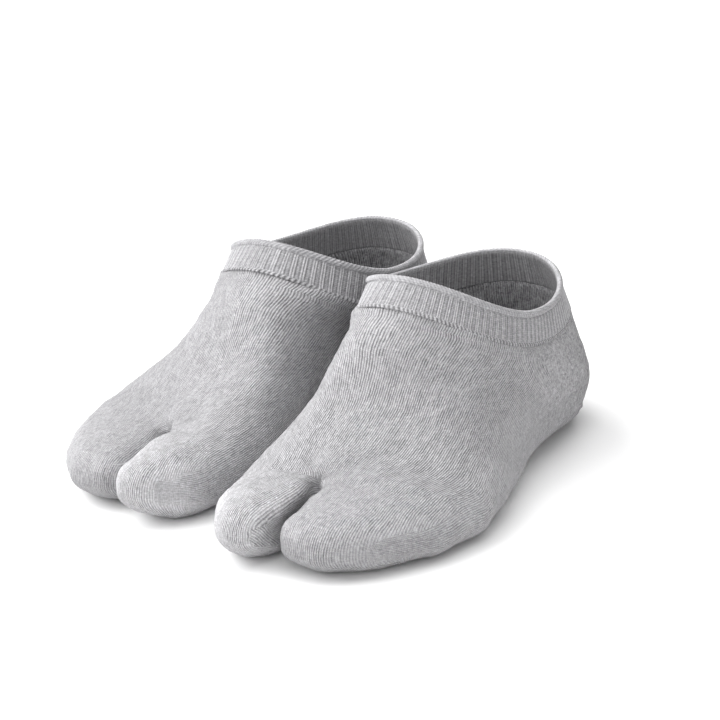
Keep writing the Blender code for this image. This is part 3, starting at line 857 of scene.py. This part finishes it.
def cuff_shell():
    """The cuff's points, faces and stitch numbers, with how far each point stands up."""
    columns = RIBS * RIB_STEPS
    phase = np.arange(columns) / RIB_STEPS
    rib = np.floor(phase).astype(int)
    strength = rng.uniform(*RIB_UNEVEN, RIBS)[rib]
    lean = rng.normal(0, RIB_LEAN, RIBS)[rib]
    front = soft_step(*BEAD_GROWTH, seam[:, 0])
    bead = np.floor(2 * phase + 0.5).astype(int) % (2 * RIBS)
    bead_height = (BEAD_AT_HEEL + (1 - BEAD_AT_HEEL) * front) * rng.uniform(*BEAD_UNEVEN, 2 * RIBS)[bead]
    waver = WAVER * np.sin(2 * math.pi * np.arange(columns) / columns * WAVES + 1)
    lines, rises, turns, heights = [], [], [], []
    for edge in cuff_edge():
        scallop = SCALLOP * edge.beads * bead_height * np.cos(4 * math.pi * phase) * (edge.up < 0.2)
        up = edge.share * cuff_height[:, 0] + edge.up - scallop
        over = soft_step(*OVER_WELT, edge.up) + 0.35 * soft_step(*INTO_CUFF, edge.out)
        at_top = edge.share == 1
        slant = WELT_SLANT * over if at_top else 0
        turned = phase + slant + lean * edge.share + waver * 0.3 * (edge.share - 0.5)
        on_welt = soft_step(*WELT_UP, edge.up) if at_top else 0
        relief = rib_relief(turned) * (1 - on_welt) + welt_relief(turned) * on_welt
        groove = WELT_GROOVE + (1 - WELT_GROOVE) * front
        if not at_top or edge.up > WELT_GROOVE_BELOW:
            groove = 1
        out = edge.out * groove + CUFF_OUT * (1 - groove) + edge.ribs * strength * RIB_DEPTH * 0.5 * relief
        beads = 0.5 + 0.5 * np.cos(4 * math.pi * (phase + BEAD_LEAN * edge.up))
        out = out + edge.beads * ((bead_height - 1) * 0.45 + BEAD_RAISED * bead_height * (beads - 0.5))
        lines.append(seam + cuff_up * up[:, None] + cuff_out * out[:, None])
        # how far each point stands up, from which the rib's finish paints the recesses and the gaps between
        # beads darker, as painted shade
        on_edge = 0.8 + 0.3 * relief
        on_ribs = 0.7 + 0.7 * relief * min(1, edge.ribs * 1.3)
        rises.append(np.where(edge.beads > 0.5, beads, on_ribs * (1 - on_welt) + on_edge * on_welt))
        turns.append(4 * turned)
        heights.append(up + (INSIDE_COURSE if edge.out < -0.9 else 0))

    def closed(values, step=0):
        """The same grid with its first line and its first column again at the end."""
        values = np.vstack([values, values[:1]])
        return np.hstack([values, values[:, :1] + step])

    points, (numbers,) = numbered([np.array(lines)])
    stitches = np.stack([closed(turns, 4 * RIBS), closed(heights) / COURSE], axis=2)
    return (points, laid(corner_values(closed(numbers)), False), laid(corner_values(stitches), False),
            np.array(rises).ravel())


cuff_points, cuff_faces, cuff_stitches, cuff_rise = cuff_shell()
print("cuff points:", len(cuff_points), " faces:", len(cuff_faces))

# %% [markdown]
# ## Left and right
#
# The right sock is the left one in a mirror. A mirrored mesh shows its faces from behind, so the
# order of each face's corners is turned round as well. Both are moved to where the model has them.

# %% Standing the pair
FOOT_CENTRE = 120  # the back of the left heel stands this far behind the middle
HEEL_SPACING = 88.1  # between the two socks' own middle lines, at the heels
RIGHT_SET_BACK = 10.5  # the right sock stands this much further back
LEFT_TURN, RIGHT_TURN = 1.1, -0.8  # degrees
PAIR_CENTRE = np.array([2.6, 4.9, 0])  # the middle of the pair's box


def stand(points, side):
    """A sock's points in the pair's frame: toes towards -Y, the left sock on the +X side."""
    mirror = 1 if side == "left" else -1
    turned = math.radians(LEFT_TURN if side == "left" else RIGHT_TURN)
    heel_y = FOOT_CENTRE if side == "left" else FOOT_CENTRE + RIGHT_SET_BACK
    s, x, z = points.T
    to_side = HEEL_SPACING / 2 + s * math.sin(turned) + x * math.cos(turned)
    to_back = heel_y - s * math.cos(turned) + x * math.sin(turned)
    return (np.stack([mirror * to_side, to_back, z], axis=1) - PAIR_CENTRE) * MM


print("pair centre, mm:", PAIR_CENTRE)

# %% A mesh object of cloth
def cloth_object(side, part, points, faces, stitches, values, material):
    """One piece of a sock, with a UV map in stitches and some values per point for its finish.

    Where a face has a point twice, as at the tips, it becomes a triangle.
    """
    used = np.unique(np.concatenate(faces))
    renumber = np.zeros(len(points), int)
    renumber[used] = np.arange(len(used))
    order = 1 if side == "left" else -1
    corners, pairs = [], []
    for face, pair in zip(faces, stitches):
        keep = [i for i in range(len(face)) if face[i] != face[i - 1]][::order]
        corners.append(renumber[[face[i] for i in keep]].tolist())
        pairs.append(pair[keep])
    mesh = bpy.data.meshes.new(f"{side}_{part}")
    mesh.from_pydata(stand(points[used], side).tolist(), [], corners)
    layer = mesh.uv_layers.new(name="stitches")
    layer.data.foreach_set("uv", np.concatenate(pairs).ravel().astype(np.float32))
    for key, value in values.items():
        mesh.attributes.new(key, "FLOAT", "POINT").data.foreach_set("value", value[used].astype(np.float32))
    mesh.shade_smooth()
    mesh.materials.append(material)
    piece = bpy.data.objects.new(mesh.name, mesh)
    bpy.context.scene.collection.objects.link(piece)
    return piece


print("a piece is made from its points, faces, stitches, values and material")

# %% [markdown]
# ## Writing a shader as sums
#
# A yarn pattern is arithmetic on the stitch numbers, and arithmetic reads best as arithmetic. A Wire
# wraps a socket, so that adding or multiplying wires makes the Math nodes behind the scenes.

# %% A wire
class Wire:
    """One value in a shader. Sums and products of wires add the nodes that work them out."""

    def __init__(self, shader, socket):
        self.shader, self.socket = shader, socket

    def math(self, operation, *others, **settings):
        values = dict(enumerate((self,) + others))
        return self.shader.add("ShaderNodeMath", {"operation": operation, **settings}, values)

    def __add__(self, other):
        return self.math("ADD", other)

    def __sub__(self, other):
        return self.math("SUBTRACT", other)

    def __mul__(self, other):
        return self.math("MULTIPLY", other)

    def __rsub__(self, other):
        return (self * -1).math("ADD", other)

    __radd__, __rmul__ = __add__, __mul__

    def part(self, name):
        """Another output of the node that this value comes from."""
        return Wire(self.shader, self.socket.node.outputs[name])


print("a wire can add, subtract and multiply")

# %% A shader
class Shader:
    """A material's nodes, round one Principled BSDF."""

    def __init__(self, name, constants):
        self.material = bpy.data.materials.new(name)
        self.material.use_nodes = True
        self.tree = self.material.node_tree
        self.surface = self.tree.nodes["Principled BSDF"]
        for key, value in constants.items():
            self.surface.inputs[key].default_value = value

    def add(self, kind, settings=None, inputs=None):
        """Adds a node, and gives its first output."""
        node = self.tree.nodes.new(kind)
        for key, value in (settings or {}).items():
            setattr(node, key, value)
        for key, value in (inputs or {}).items():
            if isinstance(value, Wire):
                self.tree.links.new(value.socket, node.inputs[key])
            else:
                node.inputs[key].default_value = value
        return Wire(self, node.outputs[0])

    def attribute(self, name):
        """A value that the mesh holds for each of its points."""
        return self.add("ShaderNodeAttribute", {"attribute_name": name}).part("Fac")

    def noise(self, where, size, detail=2, roughness=0.5):
        """Smooth noise about 0, with patches of that size."""
        inputs = {"Vector": where, "Scale": 1 / size, "Detail": detail, "Roughness": roughness}
        return self.add("ShaderNodeTexNoise", inputs=inputs) - 0.5

    def together(self, x, y, z):
        """A vector from three values."""
        return self.add("ShaderNodeCombineXYZ", inputs={0: x, 1: y, 2: z})

    def chance(self, x, y):
        """A random number from 0 to 1 for each pair of whole numbers."""
        return self.add("ShaderNodeTexWhiteNoise", {"noise_dimensions": "2D"},
                        {"Vector": self.together(x, y, 0)}).part("Value")

    def give(self, socket, value):
        self.tree.links.new(value.socket, self.surface.inputs[socket])


print("shader helpers ready")

# %% [markdown]
# ## Heather yarn in plain knit
#
# Jersey shows columns of small V-shaped stitches. Each V is two legs of yarn, so a wale reads as a
# ridge with a groove at each side. The yarn is spun from pale and dark fibres, which gives the cloth
# its heather grey: a fine speckle, faint streaks along the courses and soft patches a few millimetres
# wide. The groove is both relief, in the bump, and shade, in the colour, because light hardly reaches
# the gap between two wales. A real groove is a row of short dark dashes, so each groove gets its own.
# Where the cloth isn't stretched, the stitches lie loose: in uneven loops over the toes, and in short
# bars and curled threads on the felted heel. A value at each point of the mesh says how much of each.

# %% The yarn
FIBRE, FUZZ, FLUTTER = 0.45 * MM, 0.35 * MM, 1.3 * MM  # sizes of the speckle, the fuzz, the flutter
PATCH, BREAK = 7 * MM, 5 * MM  # of the soft patches and the wales' sway
CURL, THREAD = 1.1 * MM, 2.4 * MM  # of the curls and the bent threads
BUMP = 0.22 * MM  # height of the yarn's relief
YARN = {"Roughness": 0.92, "Sheen Weight": 0.14, "Sheen Roughness": 0.5, "Specular IOR Level": 0.15}


class Knit(Shader):
    """A knit's shader, which knows where it is in the cloth: its place, its wale and its course."""

    def __init__(self, name):
        super().__init__(name, YARN)
        self.place = self.add("ShaderNodeTexCoord").part("Object")
        stitches = self.add("ShaderNodeUVMap", {"uv_map": "stitches"})
        wale = self.add("ShaderNodeSeparateXYZ", inputs={0: stitches})
        sway = self.noise(self.place, BREAK, 1)
        flutter = self.noise(self.place, FLUTTER, 1)
        self.wale = wale + 0.4 * sway + 0.34 * flutter
        self.course = wale.part("Y") + 0.9 * flutter

    def along(self, a_wale, a_course, layer=0, roughness=0.6):
        """Noise laid out in stitches, so that it follows the knitting."""
        where = self.together(self.wale * a_wale, self.course * a_course, layer)
        return self.noise(where, 1, 2, roughness)

    def heather(self):
        """The yarn's shade, about 1: fibres, streaks along the courses, and soft patches."""
        fibres = self.noise(self.place, FIBRE, 3, 0.75)
        streaks, rounds = self.along(0.22, 0.9), self.along(0.045, 0.4, 3)
        return 1 + 0.55 * fibres + 0.17 * streaks + 0.24 * rounds + 0.08 * self.noise(self.place, PATCH)

    def finished(self, shade, grey, height):
        """Gives the yarn its grey, shaded, and its relief with a fine fuzz."""
        colour = self.add("ShaderNodeCombineColor", inputs={i: shade * part for i, part in enumerate(grey)})
        height = height + 0.8 * self.noise(self.place, FUZZ, 2, 0.7)
        bump = self.add("ShaderNodeBump", inputs={"Strength": 1, "Distance": BUMP, "Height": height})
        self.give("Base Color", colour)
        self.give("Normal", bump)
        return self.material


print("yarn relief, mm:", BUMP / MM)

# %% Plain knit
JERSEY_GREY = (0.517, 0.511, 0.528)  # the yarn's red, green and blue


def plain_knit():
    knit = Knit("heather_plain_knit")
    wale, course = knit.wale, knit.course
    clear, loose, curled, tone_and_painted_light = (knit.attribute(name) for name in ("clear", "loose", "curled", "tone_and_painted_light"))

    # the V of each stitch
    off_centre = (wale.math("FRACT") - 0.5).math("ABSOLUTE")
    ridge = (wale * (2 * math.pi)).math("COSINE") * -0.5 + 0.5
    leg = (course - 1.1 * off_centre).math("FRACT") * 2 - 1
    stitch = 1 - leg * leg
    uneven = knit.chance(wale.math("FLOOR"), course.math("FLOOR"))

    # the grooves, in dashes
    groove = (wale + 0.5).math("FLOOR")
    dash = knit.chance(groove, (course * 0.3 + 7 * knit.chance(groove, 0)).math("FLOOR"))
    depth = clear * (0.7 + 0.54 * dash) * (0.25 * knit.along(0.16, 0.1) + 0.995)

    # loose and curled places
    curls = knit.noise(knit.place, CURL, 1)
    bent = knit.noise(knit.place, THREAD, 2, 0.6).math("ABSOLUTE")
    threads = 0.5 - bent.math("MULTIPLY", 7, use_clamp=True)
    bars = knit.along(0.3, 0.62, 9, 0.7)
    rough = loose * knit.along(0.85, 0.45, 7, 0.65) + curled * (0.8 * bars + 0.34 * threads)

    # the relief, and the colour from the speckle, painted shade in the grooves and between the stitches,
    # and the loose places painted darker where they lie low and paler where they stand up
    height = ridge * (0.3 + 0.7 * depth) + 0.45 * ridge * stitch + 4 * rough
    height = height + (0.45 + 0.35 * loose) * uneven
    shade = knit.heather() * (1 - 0.67 * depth * (1 - ridge))
    shade = shade * (1 - 0.22 * (1 - stitch)) * (0.87 + 0.26 * uneven)
    shade = shade * (1 + 0.4 * (1.15 - clear) * curls) * (1 + 1.3 * rough) * tone_and_painted_light
    return knit.finished(shade, JERSEY_GREY, height)


knit_material = plain_knit()
print("plain knit nodes:", len(knit_material.node_tree.nodes))

# %% [markdown]
# ## The rib's finish
#
# The ribs themselves are relief in the mesh. The yarn pattern adds the stitches up each wale, and the
# recess between two ribs is painted darker, as painted shade, and shows the rungs of the purl stitches,
# like a small ladder, with painted shade between the rungs.

# %% Rib knit
RIB_GREY = (0.459, 0.454, 0.469)


def rib_knit():
    knit = Knit("heather_rib_knit")
    low = 1 - knit.attribute("rise").math("MULTIPLY", 1, use_clamp=True)
    course = knit.course * 1.1
    leg = course.math("FRACT") * 2 - 1
    rung = 1 - leg * leg
    uneven = knit.chance(knit.wale.math("FLOOR"), course.math("FLOOR"))
    # painted shade: darker in the recesses between ribs and between the rungs, on a random tone per stitch
    shade = knit.heather() * (1 - 0.62 * low) * (0.84 + 0.32 * uneven)
    shade = shade * (1 - (0.12 + 0.4 * low) * (1 - rung))
    return knit.finished(shade, RIB_GREY, 0.6 * rung)


rib_material = rib_knit()
print("rib knit nodes:", len(rib_material.node_tree.nodes))

# %% [markdown]
# ## The four pieces
#
# Stitches show clearly where the cloth is stretched smooth over the instep, and blur on the sides and
# the heel, where the fibres have felted a little. The cloth is also paler towards the toes, and painted
# light and shade make the top and end of the big toe lighter, and the heel, the front round the little
# toe and the instep under the cuff darker. Four values at each point carry this to the finish: how
# clear, loose, curled and pale it is.

# %% How clear, loose, curled and pale the cloth is, with its painted light and shade
CLEAR_INSIDE, CLEAR_BELOW, CLEAR_ON_TOP = 0.75, 0.64, 0.24  # on the lining, the sides, and more on top
CLEAR_FOUR, CLEAR_BIG = 0.76, 0.95  # on the caps of the toe pockets
TOP_EDGE = (44, 62)  # outer columns between which the top gives way to the side
CAP_FADE = 30  # mesh rows from the split over which the caps' clearness takes over
TURNING, TURN_WIDTH = 0.5, 0.16  # the wales blur by this share where the cap turns into the side


def clearness():
    """How clearly the wales show at each point, from 0 to 1."""
    clear = np.full(len(shell_points), CLEAR_INSIDE)
    for grid, on_cap in ((outer, CLEAR_FOUR), (inner, CLEAR_BIG)):
        rows, columns = (np.arange(count) for count in grid.shape)
        over_top = 1 - soft_step(*TOP_EDGE, columns * OUTER_WALES / columns[-1])
        fade = soft_step(SPLIT_ROW, SPLIT_ROW + CAP_FADE, rows)[:, None]
        lean = np.abs(foot_normals[grid, 1])
        turning = TURNING * bell(lean - CAP_LEAN, TURN_WIDTH) * on_cap
        clear[grid] = (CLEAR_BELOW + CLEAR_ON_TOP * over_top) * (1 - fade) + (on_cap - turning) * fade
    return clear


LOOSE_FROM, LOOSE_TO, LOOSE_MOST = 165, 212, 0.5  # s between which the stitches loosen, and how far
TOE_TOP, LOOSE_DOWN = 24, 0.6  # so at this height, and this much further back for each millimetre below
CURLED = (112, 50)  # s between which the cloth curls


def looseness():
    """How loose the stitches lie over the toes, and how much the cloth curls at the heel, 0 to 1."""
    s, z = shell_points[:, 0], shell_points[:, 2]
    loose = LOOSE_MOST * soft_step(LOOSE_FROM, LOOSE_TO, s + LOOSE_DOWN * (TOE_TOP - z))
    return loose, soft_step(*CURLED, s)


Tone = namedtuple("Tone", "where amount s x up")  # and the soft steps that bound it
# painted light and shade: the big toe's top and end painted lighter; the heel, the lower front round the
# little toe and the upward-facing instep under the cuff painted darker
PAINTED_LIGHT_AND_SHADE = [
    Tone("heel", -0.23, (60, 10), None, None),
    Tone("over the big toe", 0.18, (192, 206), (-3, -7), (0.35, 0.85)),
    Tone("big toe's end", 0.11, (203, 224), (-3, -7), None),
    Tone("round the little toe", -0.17, (168, 196), (-4, 2), (0.8, 0.15)),
    Tone("under the cuff", -0.06, (150, 126), None, (0.15, 0.6)),
]
FOREFOOT, FOREFOOT_FROM = 0.14, (140, 200)  # paler towards the toes
LITTLE_SIDE, LITTLE_FROM = 0.85, (-5, 3)  # but this much less over the four toes


def painted_light_and_tone():
    """How pale each point is, about 1: paler towards the toes, with painted light on the big toe and painted
    shade on the heel, round the little toe and under the cuff.
    """
    s, x = shell_points[:, 0], shell_points[:, 1]
    up = np.zeros(len(shell_points))
    up[:len(foot_normals)] = foot_normals[:, 2]
    four_toes = LITTLE_SIDE * soft_step(*LITTLE_FROM, x)
    tone_and_painted_light = 1 + FOREFOOT * soft_step(*FOREFOOT_FROM, s) * (1 - four_toes)
    for tone in PAINTED_LIGHT_AND_SHADE:
        within = soft_step(*tone.s, s)
        for bounds, value in ((tone.x, x), (tone.up, up)):
            within = within * soft_step(*bounds, value) if bounds else within
        tone_and_painted_light += tone.amount * within
    return tone_and_painted_light


print("paler and darker places:", [tone.where for tone in PAINTED_LIGHT_AND_SHADE])

# %% Make the pieces
foot_values = dict(zip(("clear", "loose", "curled", "tone_and_painted_light"), (clearness(), *looseness(), painted_light_and_tone())))
pieces = {}
for side in ("left", "right"):
    pieces[side, "foot"] = cloth_object(
        side, "foot_knit", shell_points, shell_faces, shell_stitches, foot_values, knit_material)
    pieces[side, "cuff"] = cloth_object(
        side, "cuff_rib", cuff_points, cuff_faces.tolist(), cuff_stitches, {"rise": cuff_rise}, rib_material)
for piece in pieces.values():
    piece.data.calc_loop_triangles()
    print(piece.name, "triangles:", len(piece.data.loop_triangles))

# %% [markdown]
# ## Floor and light
#
# A white floor inside a light tent. Each wall of the tent is a sun lamp with a disc fifty degrees wide
# or more, which lights as a large soft panel does, at any distance. The left and front ones are the
# strongest, so the cloth is modelled from the left, and the white floor throws light back under the
# socks. Only the contact lines go dark.

# %% Floor and light
FLOOR_SIZE = 14  # m, so that its edge is never seen
SEEN_ROOM = 0.02  # how brightly the tent itself shines
Lamp = namedtuple("Lamp", "name x y z strength spread")  # direction it comes from, W/m2, degrees
LAMPS = [
    Lamp("left wall", -0.88, 0.05, 0.47, 2.3, 60),
    Lamp("front left", -0.6, -0.4, 0.7, 1.95, 50),
    Lamp("front wall", -0.3, -0.83, 0.45, 1.3, 60),
    Lamp("front right", 0.45, -0.73, 0.5, 0.85, 60),
    Lamp("roof", 0, 0.05, 1, 1.9, 60),
    Lamp("right wall", 0.8, 0.3, 0.5, 0.45, 70),
]

bpy.ops.mesh.primitive_plane_add(size=FLOOR_SIZE, location=(0, 0, 0))
floor = bpy.context.object
floor.name = "studio_floor"
floor_shader = Shader("studio_floor_white", {"Roughness": 0.9, "Base Color": (0.94, 0.94, 0.94, 1),
                                             "Specular IOR Level": 0.1})
floor.data.materials.append(floor_shader.material)

for lamp in LAMPS:
    data = bpy.data.lights.new(lamp.name, "SUN")
    data.energy = lamp.strength
    data.angle = math.radians(lamp.spread)
    light = bpy.data.objects.new(lamp.name, data)
    light.rotation_euler = Vector((lamp.x, lamp.y, lamp.z)).to_track_quat("Z", "Y").to_euler()
    bpy.context.scene.collection.objects.link(light)

world = bpy.data.worlds.new("light_tent")
world.use_nodes = True
world.node_tree.nodes["Background"].inputs["Color"].default_value = (1, 1, 1, 1)
world.node_tree.nodes["Background"].inputs["Strength"].default_value = SEEN_ROOM
bpy.context.scene.world = world
bpy.context.scene.view_settings.view_transform = "Standard"
print("lamps:", [lamp.name for lamp in LAMPS])

# %% [markdown]
# ## Hand over
#
# Each piece stands for the plain solid of the same name, and moves with the one body.

for (side, part), piece in pieces.items():
    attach(piece, "root")
    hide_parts(f"{side}_{part}")
print("pieces handed over:", len(pieces))
